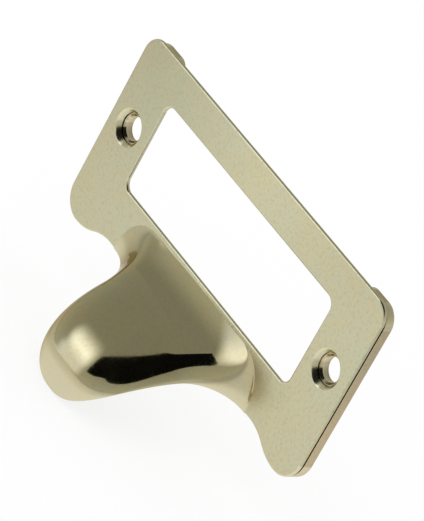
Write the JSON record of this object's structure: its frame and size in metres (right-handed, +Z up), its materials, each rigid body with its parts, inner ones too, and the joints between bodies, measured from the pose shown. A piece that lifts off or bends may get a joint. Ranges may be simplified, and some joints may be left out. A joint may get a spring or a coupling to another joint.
{
  "type": "card frame drawer pull",
  "caption": "Label-holder drawer pull: a thin plated frame round a card window, countersunk holes in its ends, end blocks behind them and a hollow finger hood below the window.",
  "frame": {"origin": "middle of the line through the two screw holes, on the back plane that lies on the drawer front", "axes": "+X to the right seen from the front, +Z up, the front faces -Y and the back faces +Y"},
  "size_m": [0.08, 0.0248, 0.05],
  "materials": {
    "face_nickel": "bright nickel plate over brass, polished",
    "block_nickel": "bright nickel plate over brass, brushed on its edges",
    "hood_nickel": "bright nickel plate over brass, polished"
  },
  "bodies": {
    "root": {"face_plate": "face_nickel", "left_end_block": "block_nickel", "right_end_block": "block_nickel", "finger_hood": "hood_nickel"}
  },
  "joints": []
}
